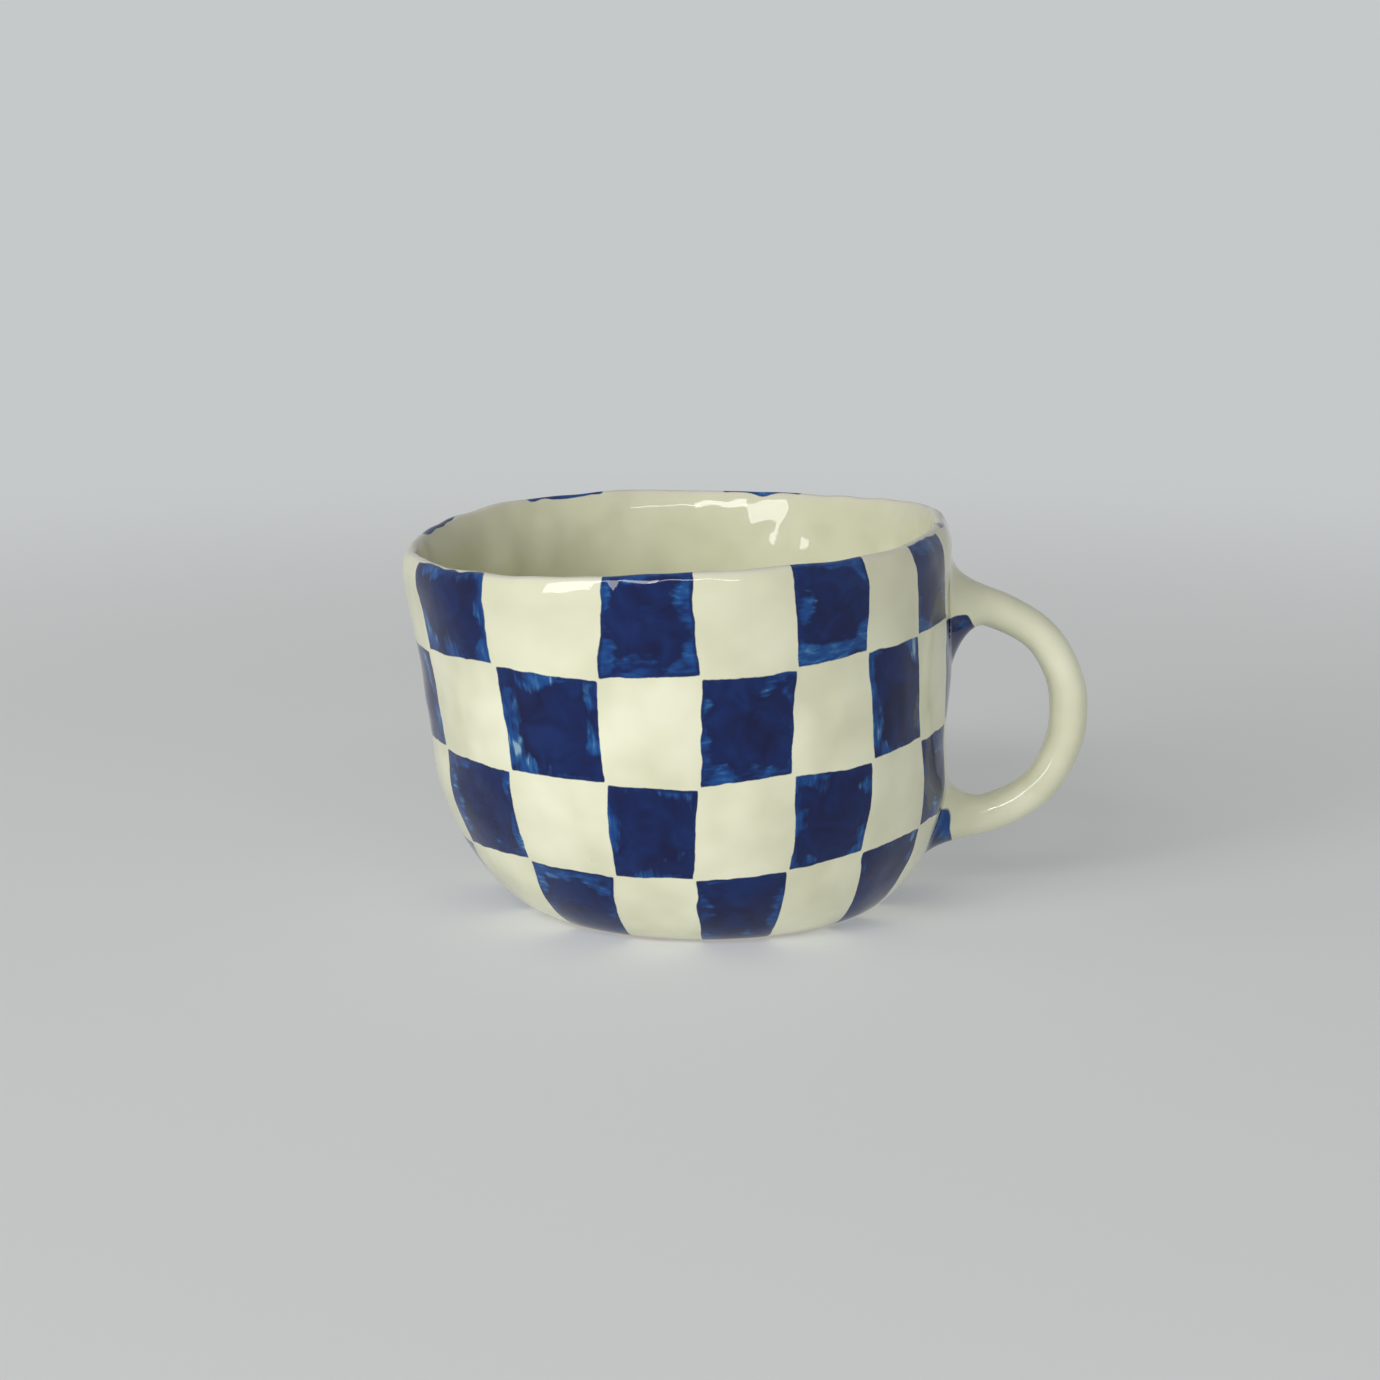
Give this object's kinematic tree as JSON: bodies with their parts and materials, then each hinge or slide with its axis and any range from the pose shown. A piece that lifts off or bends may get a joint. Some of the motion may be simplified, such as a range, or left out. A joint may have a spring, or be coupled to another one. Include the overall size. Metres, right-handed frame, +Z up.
{
  "type": "stoneware mug",
  "caption": "Wide hand-built stoneware mug with an uneven rim, a round belly on a flat base, a coil loop handle, and a painted cobalt and cream check.",
  "frame": {"origin": "middle of the flat base, on the plane that the mug rests on", "axes": "+Z up out of the mouth, +X towards the handle, -Y towards the side that the picture shows"},
  "size_m": [0.1317, 0.1054, 0.0751],
  "materials": {
    "painted_glaze": "gloss clear glaze over cream stoneware with brushed cobalt blue checks",
    "cream_glaze": "gloss clear glaze over cream stoneware",
    "bare_stoneware": "matt unglazed clay on the underside, glazed on the edge and inside"
  },
  "bodies": {
    "root": {"cup_wall": "painted_glaze", "floor_slab": "bare_stoneware", "floor_seam_coil": "cream_glaze", "handle_coil": "cream_glaze", "upper_handle_root": "painted_glaze", "lower_handle_root": "painted_glaze"}
  },
  "joints": []
}
